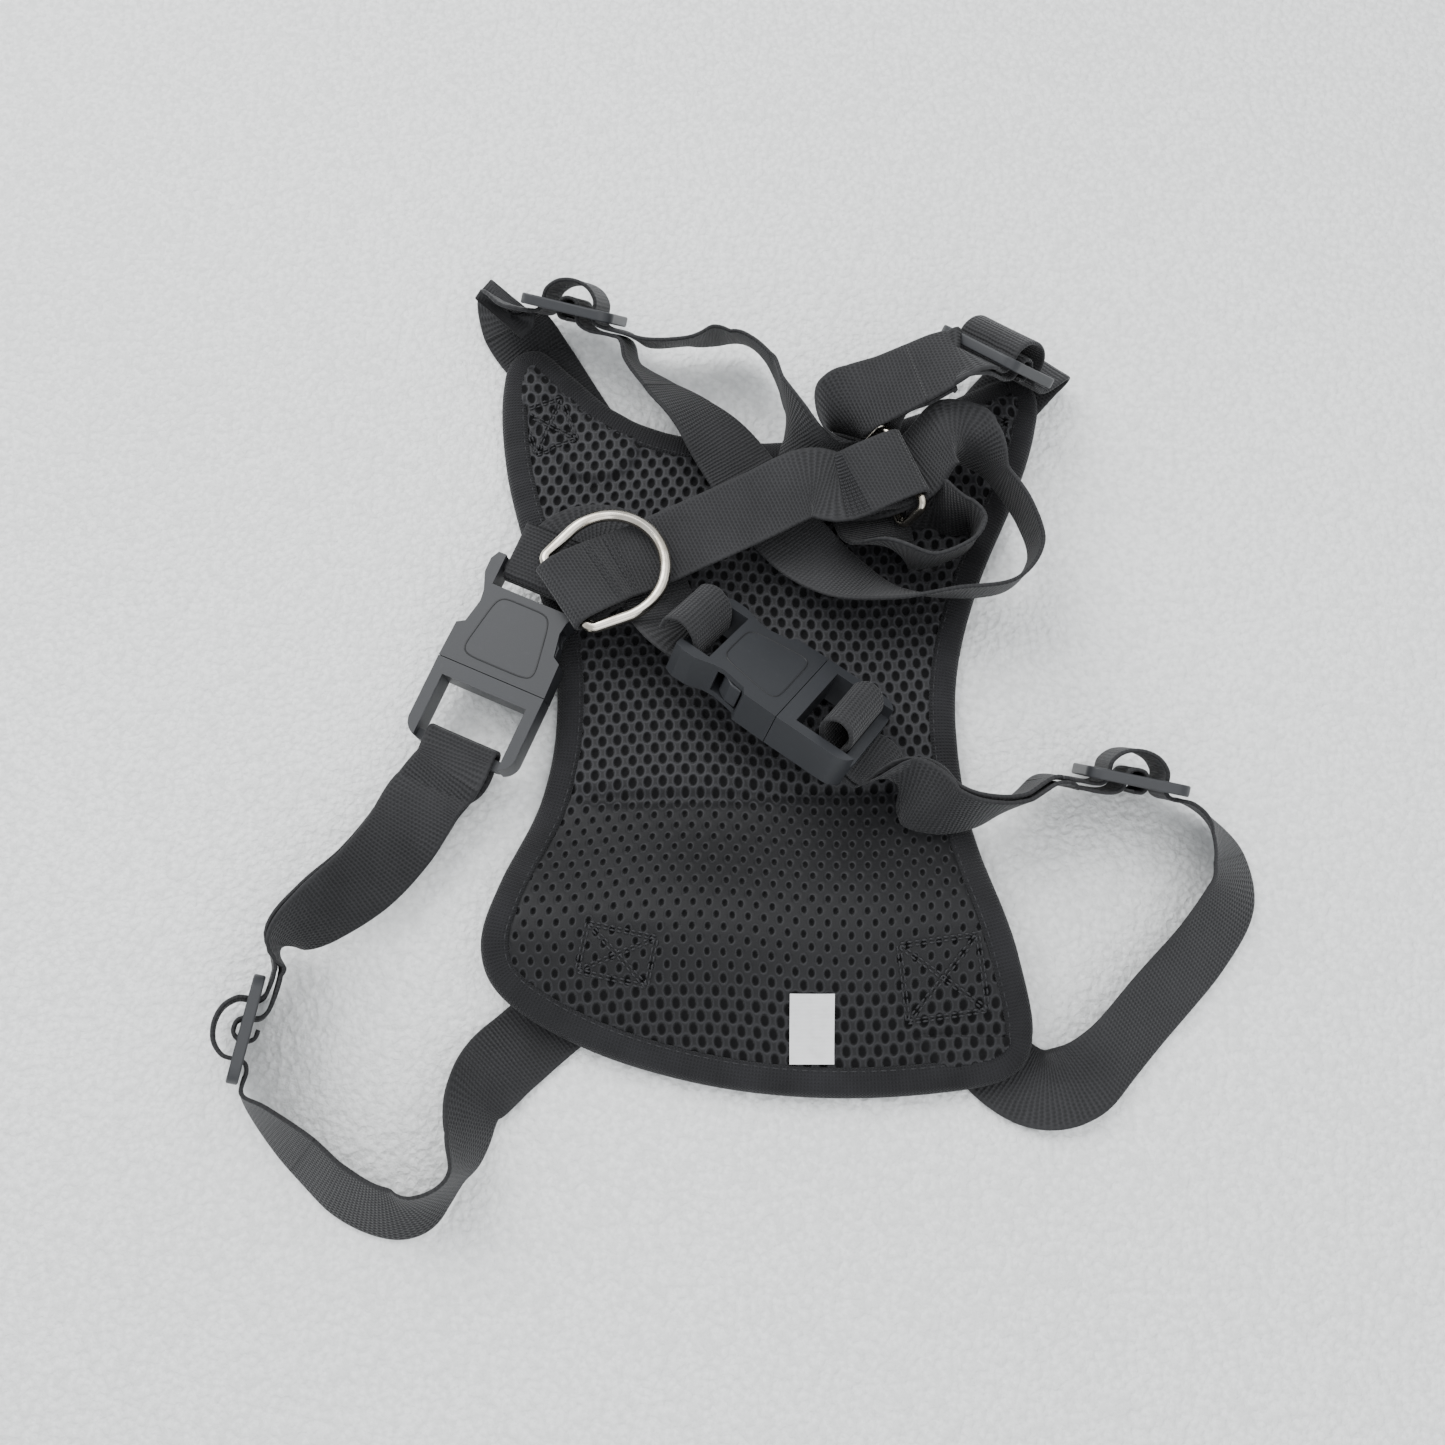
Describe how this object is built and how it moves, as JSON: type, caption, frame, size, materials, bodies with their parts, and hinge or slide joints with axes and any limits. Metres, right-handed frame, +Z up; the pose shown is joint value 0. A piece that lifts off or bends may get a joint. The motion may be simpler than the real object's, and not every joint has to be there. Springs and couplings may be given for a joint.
{
  "type": "padded chest harness",
  "caption": "Padded breast plate with adjustable webbing straps, side-release buckles, strap sliders and a steel D-ring",
  "frame": {"origin": "Middle of the pad's flat underside where it rests on the table", "axes": "+X to the harness's right as it lies, +Y to its neck end, +Z up from the table"},
  "size_m": [0.3353, 0.3281, 0.0465],
  "materials": {
    "webbing": "ribbed woven nylon, charcoal",
    "air_mesh": "spacer mesh with oval holes",
    "shell_fabric": "plain weave polyester",
    "foam": "soft open foam, hidden",
    "binding_tape": "woven edge tape",
    "thread": "polyester thread",
    "label_tape": "smooth woven label, blank",
    "buckle_body": "satin moulded acetal",
    "buckle_clip": "satin moulded acetal",
    "slider_plastic": "satin moulded acetal",
    "nickel_wire": "bright nickel plate on welded steel wire"
  },
  "bodies": {
    "harness": {"outer_shell": "shell_fabric", "foam_core": "foam", "mesh_lining": "air_mesh", "edge_binding": "binding_tape", "corner_stitching": "thread", "size_label": "label_tape", "shoulder_strap_left": "webbing", "shoulder_strap_right": "webbing", "belly_strap_left": "webbing", "belly_strap_right": "webbing", "back_strap": "webbing", "cross_strap": "webbing", "buckle_female_left": "buckle_body", "buckle_female_right": "buckle_body"},
    "d_ring": {"d_ring": "nickel_wire"},
    "neck_loop": {"neck_loop": "nickel_wire"},
    "buckle_male_left": {"buckle_male_left": "buckle_clip"},
    "prong_left_inner": {"prong_left_inner": "buckle_clip"},
    "prong_left_outer": {"prong_left_outer": "buckle_clip"},
    "buckle_male_right": {"buckle_male_right": "buckle_clip"},
    "prong_right_inner": {"prong_right_inner": "buckle_clip"},
    "prong_right_outer": {"prong_right_outer": "buckle_clip"},
    "slider_neck_left": {"slider_neck_left": "slider_plastic"},
    "slider_neck_right": {"slider_neck_right": "slider_plastic"},
    "slider_belly_left": {"slider_belly_left": "slider_plastic"},
    "slider_belly_right": {"slider_belly_right": "slider_plastic"}
  },
  "joints": [
    {"name": "d_ring_flip", "type": "hinge", "parent": "harness", "child": "d_ring", "pos_m": [-0.0655, 0.0294, 0.0272], "axis": [0.5501, -0.8351, 0], "range_deg": [0, 150]},
    {"name": "neck_loop_rock", "type": "hinge", "parent": "harness", "child": "neck_loop", "pos_m": [0.0474, 0.0754, 0.0275], "axis": [-0.3998, 0.9166, 0], "range_deg": [-2, 3]},
    {"name": "buckle_left_release", "type": "slide", "parent": "harness", "child": "buckle_male_left", "axis": [-0.3998, -0.9146, -0.06], "range_m": [0, 0.026], "deforming": ["prong_left_inner", "prong_left_outer", "belly_strap_left"]},
    {"name": "prong_left_inner_squeeze", "type": "hinge", "parent": "buckle_male_left", "child": "prong_left_inner", "pos_m": [-0.08074, -0.00096, 0.01439], "axis": [-0.024, -0.055, 0.9982], "range_deg": [0, 8], "stiffness_Nm_per_rad": 1.6},
    {"name": "prong_left_outer_squeeze", "type": "hinge", "parent": "buckle_male_left", "child": "prong_left_outer", "pos_m": [-0.09925, 0.00713, 0.01439], "axis": [0.024, 0.055, -0.9982], "range_deg": [0, 8], "stiffness_Nm_per_rad": 1.6},
    {"name": "buckle_right_release", "type": "slide", "parent": "harness", "child": "buckle_male_right", "axis": [0.816, -0.578, 0], "range_m": [0, 0.026], "deforming": ["prong_right_inner", "prong_right_outer", "belly_strap_right"]},
    {"name": "prong_right_inner_squeeze", "type": "hinge", "parent": "buckle_male_right", "child": "prong_right_inner", "pos_m": [0.015, 0.00068, 0.01838], "axis": [0.3215, 0.4539, 0.831], "range_deg": [0, 8], "stiffness_Nm_per_rad": 1.6},
    {"name": "prong_right_outer_squeeze", "type": "hinge", "parent": "buckle_male_right", "child": "prong_right_outer", "pos_m": [0.00529, -0.01301, 0.02962], "axis": [-0.3215, -0.4539, -0.831], "range_deg": [0, 8], "stiffness_Nm_per_rad": 1.6},
    {"name": "slider_neck_left_adjust", "type": "slide", "parent": "harness", "child": "slider_neck_left", "axis": [0.9656, -0.2599, 0], "range_m": [-0.006, 0.006], "deforming": ["shoulder_strap_left"]},
    {"name": "slider_neck_right_adjust", "type": "slide", "parent": "harness", "child": "slider_neck_right", "axis": [-0.6181, -0.176, 0.7661], "range_m": [-0.006, 0.006], "deforming": ["shoulder_strap_right"]},
    {"name": "slider_belly_left_adjust", "type": "slide", "parent": "harness", "child": "slider_belly_left", "axis": [0.1807, 0.9835, 0], "range_m": [-0.006, 0.006], "deforming": ["belly_strap_left"]},
    {"name": "slider_belly_right_adjust", "type": "slide", "parent": "harness", "child": "slider_belly_right", "axis": [-0.9777, 0.2099, 0], "range_m": [-0.006, 0.006], "deforming": ["belly_strap_right"]}
  ]
}
